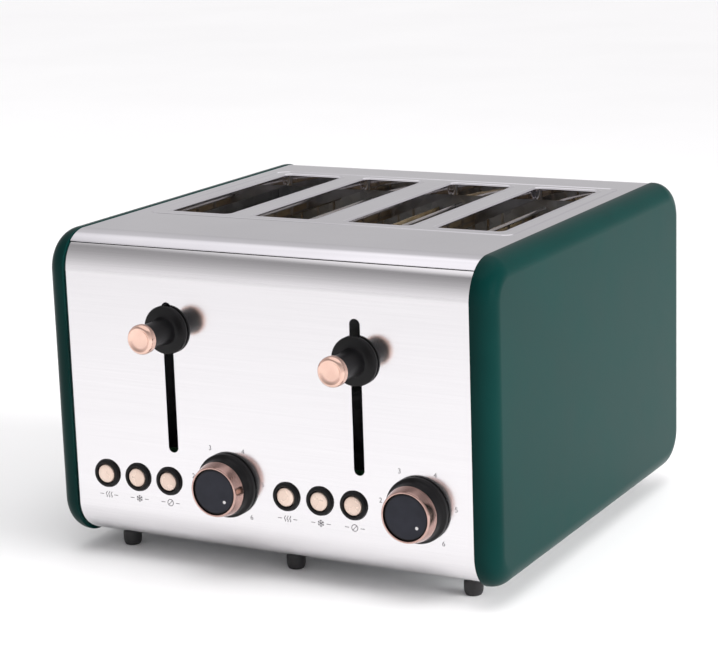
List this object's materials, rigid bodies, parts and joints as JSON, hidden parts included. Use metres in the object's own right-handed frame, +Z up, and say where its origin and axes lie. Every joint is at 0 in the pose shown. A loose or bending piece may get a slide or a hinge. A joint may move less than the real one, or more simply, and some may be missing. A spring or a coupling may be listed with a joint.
{
  "type": "pop-up toaster",
  "caption": "Wide pop-up toaster with polished top, brushed steel front, dark green end covers, sliding levers, push buttons and browning dials.",
  "frame": {"origin": "on the ground under the centre of the overall box", "axes": "+Z up, the front with its levers faces -Y, +X to the right seen from the front"},
  "size_m": [0.3, 0.3314, 0.205],
  "materials": {
    "brushed_steel": "brushed along the width, bright",
    "polished_steel": "polished",
    "green_paint": "gloss paint on moulded covers, dark green",
    "rose_gold": "rose-gold plating, polished",
    "black_plastic": "satin black",
    "cream_plastic": "satin, warm cream",
    "rubber": "matt",
    "galvanised_steel": "dull galvanised sheet",
    "spring_steel": "drawn wire",
    "mica": "flaky mica board",
    "circuit_board": "green lacquered board",
    "copper_coil": "enamelled wire"
  },
  "bodies": {
    "casing": {"front_panel": "brushed_steel", "rear_panel": "brushed_steel", "top_plate": "polished_steel", "left_guide_rod": "polished_steel", "right_guide_rod": "polished_steel", "left_end_cover": "green_paint", "right_end_cover": "green_paint", "base_plate": "galvanised_steel", "front_bulkhead": "galvanised_steel", "rear_bulkhead": "galvanised_steel", "left_side_plate": "galvanised_steel", "right_side_plate": "galvanised_steel", "front_left_foot": "rubber", "front_middle_foot": "rubber", "front_right_foot": "rubber", "rear_left_foot": "rubber", "rear_middle_foot": "rubber", "rear_right_foot": "rubber", "cord_inlet": "black_plastic", "mains_terminal_block": "cream_plastic", "left_button_frame": "black_plastic", "left_lift_spring": "spring_steel", "left_latch_magnet": "copper_coil", "left_control_board": "circuit_board", "left_outer_heating_board": "mica", "left_middle_heating_board": "mica", "left_inner_heating_board": "mica", "right_button_frame": "black_plastic", "right_lift_spring": "spring_steel", "right_latch_magnet": "copper_coil", "right_control_board": "circuit_board", "right_outer_heating_board": "mica", "right_middle_heating_board": "mica", "right_inner_heating_board": "mica"},
    "left_carriage": {"left_lever_handle": "black_plastic", "left_lever_cap": "rose_gold", "left_lift_slider": "galvanised_steel", "left_outer_bread_rack": "galvanised_steel", "left_inner_bread_rack": "galvanised_steel"},
    "left_rightward_guide": {"left_rightward_bread_guide": "spring_steel"},
    "left_leftward_guide": {"left_leftward_bread_guide": "spring_steel"},
    "left_reheat": {"left_reheat_button": "cream_plastic"},
    "left_defrost": {"left_defrost_button": "cream_plastic"},
    "left_cancel": {"left_cancel_button": "cream_plastic"},
    "left_dial": {"left_dial_knob": "black_plastic", "left_dial_ring": "rose_gold"},
    "left_tray": {"left_crumb_tray": "galvanised_steel"},
    "right_carriage": {"right_lever_handle": "black_plastic", "right_lever_cap": "rose_gold", "right_lift_slider": "galvanised_steel", "right_outer_bread_rack": "galvanised_steel", "right_inner_bread_rack": "galvanised_steel"},
    "right_rightward_guide": {"right_rightward_bread_guide": "spring_steel"},
    "right_leftward_guide": {"right_leftward_bread_guide": "spring_steel"},
    "right_reheat": {"right_reheat_button": "cream_plastic"},
    "right_defrost": {"right_defrost_button": "cream_plastic"},
    "right_cancel": {"right_cancel_button": "cream_plastic"},
    "right_dial": {"right_dial_knob": "black_plastic", "right_dial_ring": "rose_gold"},
    "right_tray": {"right_crumb_tray": "galvanised_steel"}
  },
  "joints": [
    {"name": "left_lever_slide", "type": "slide", "parent": "casing", "child": "left_carriage", "axis": [0, 0, 1], "range_m": [-0.0688, 0.0092], "stiffness_N_per_m": 150, "springref_m": 0.00754, "deforming": ["left_lift_spring"]},
    {"name": "left_rightward_guide_slide", "type": "slide", "parent": "casing", "child": "left_rightward_guide", "axis": [1, 0, 0], "range_m": [-0.00109, 0.00794]},
    {"name": "left_leftward_guide_slide", "type": "slide", "parent": "casing", "child": "left_leftward_guide", "axis": [-1, 0, 0], "range_m": [-0.00109, 0.00794]},
    {"name": "left_reheat_press", "type": "slide", "parent": "casing", "child": "left_reheat", "axis": [0, 1, 0], "range_m": [0, 0.002], "stiffness_N_per_m": 300, "springref_m": -0.002},
    {"name": "left_defrost_press", "type": "slide", "parent": "casing", "child": "left_defrost", "axis": [0, 1, 0], "range_m": [0, 0.002], "stiffness_N_per_m": 300, "springref_m": -0.002},
    {"name": "left_cancel_press", "type": "slide", "parent": "casing", "child": "left_cancel", "axis": [0, 1, 0], "range_m": [0, 0.002], "stiffness_N_per_m": 300, "springref_m": -0.002},
    {"name": "left_dial_turn", "type": "hinge", "parent": "casing", "child": "left_dial", "pos_m": [-0.0261, -0.13525, 0.0588], "axis": [0, 1, 0], "range_deg": [-280, 0]},
    {"name": "left_tray_slide", "type": "slide", "parent": "casing", "child": "left_tray", "axis": [0, 1, 0], "range_m": [0, 0.19]},
    {"name": "right_lever_slide", "type": "slide", "parent": "casing", "child": "right_carriage", "axis": [0, 0, 1], "range_m": [-0.0609, 0.0171], "stiffness_N_per_m": 150, "springref_m": 0.00754, "deforming": ["right_lift_spring"]},
    {"name": "right_rightward_guide_slide", "type": "slide", "parent": "casing", "child": "right_rightward_guide", "axis": [1, 0, 0], "range_m": [-0.002, 0.00703]},
    {"name": "right_leftward_guide_slide", "type": "slide", "parent": "casing", "child": "right_leftward_guide", "axis": [-1, 0, 0], "range_m": [-0.002, 0.00703]},
    {"name": "right_reheat_press", "type": "slide", "parent": "casing", "child": "right_reheat", "axis": [0, 1, 0], "range_m": [0, 0.002], "stiffness_N_per_m": 300, "springref_m": -0.002},
    {"name": "right_defrost_press", "type": "slide", "parent": "casing", "child": "right_defrost", "axis": [0, 1, 0], "range_m": [0, 0.002], "stiffness_N_per_m": 300, "springref_m": -0.002},
    {"name": "right_cancel_press", "type": "slide", "parent": "casing", "child": "right_cancel", "axis": [0, 1, 0], "range_m": [0, 0.002], "stiffness_N_per_m": 300, "springref_m": -0.002},
    {"name": "right_dial_turn", "type": "hinge", "parent": "casing", "child": "right_dial", "pos_m": [0.1009, -0.13525, 0.0588], "axis": [0, 1, 0], "range_deg": [-280, 0]},
    {"name": "right_tray_slide", "type": "slide", "parent": "casing", "child": "right_tray", "axis": [0, 1, 0], "range_m": [0, 0.19]}
  ],
  "couplings": [
    {"joint": "left_rightward_guide_slide", "follows": "left_lever_slide", "ratio": -0.115},
    {"joint": "left_leftward_guide_slide", "follows": "left_lever_slide", "ratio": -0.115},
    {"joint": "right_rightward_guide_slide", "follows": "right_lever_slide", "ratio": -0.115},
    {"joint": "right_leftward_guide_slide", "follows": "right_lever_slide", "ratio": -0.115}
  ]
}
